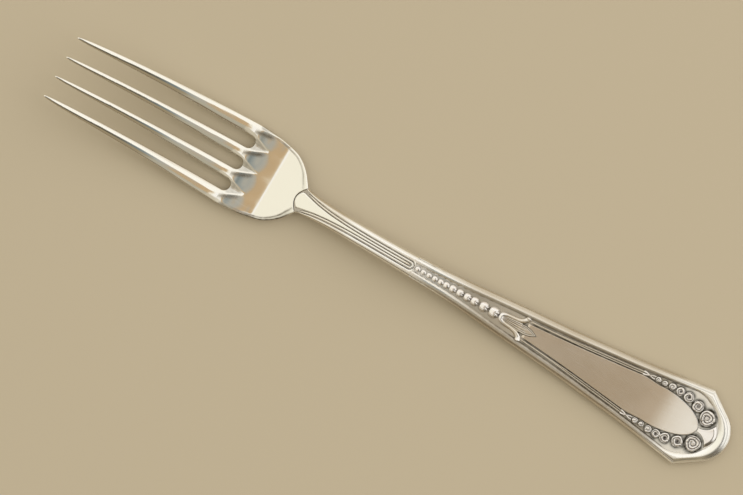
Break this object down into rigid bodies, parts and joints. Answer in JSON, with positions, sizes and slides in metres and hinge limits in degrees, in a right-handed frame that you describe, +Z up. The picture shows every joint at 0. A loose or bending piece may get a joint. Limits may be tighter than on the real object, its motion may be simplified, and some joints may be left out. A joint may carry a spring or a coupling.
{
  "type": "dinner fork",
  "caption": "Silver-plated dinner fork with tapered tines, a dished bowl, a reeded shank and a spatulate handle with a beaded and flowered border.",
  "frame": {"origin": "under the middle of the fork's bounding box, on the table that the fork lies on, face up", "axes": "+X along the fork from the tines to the end of the handle, +Z up, out of the fork's face"},
  "size_m": [0.19, 0.0222, 0.0128],
  "materials": {
    "polished_plate": "mirror-polished silver plate",
    "satin_plate": "satin silver plate with fine wear scratches",
    "relief_plate": "struck relief in silver plate, dark tarnish in its recesses"
  },
  "bodies": {
    "root": {"outer_tine_left": "polished_plate", "inner_tine_left": "polished_plate", "inner_tine_right": "polished_plate", "outer_tine_right": "polished_plate", "bowl": "polished_plate", "shank": "satin_plate", "tongue": "polished_plate", "shank_reeds": "relief_plate", "handle_plate": "satin_plate", "raised_border": "satin_plate", "bead_row": "relief_plate", "calyx": "relief_plate", "calyx_petal": "relief_plate", "stem_left": "relief_plate", "stem_right": "relief_plate", "ribbon_ties": "relief_plate", "tablet": "satin_plate", "rose_row_left": "relief_plate", "rose_row_right": "relief_plate", "end_petal": "relief_plate"}
  },
  "joints": []
}
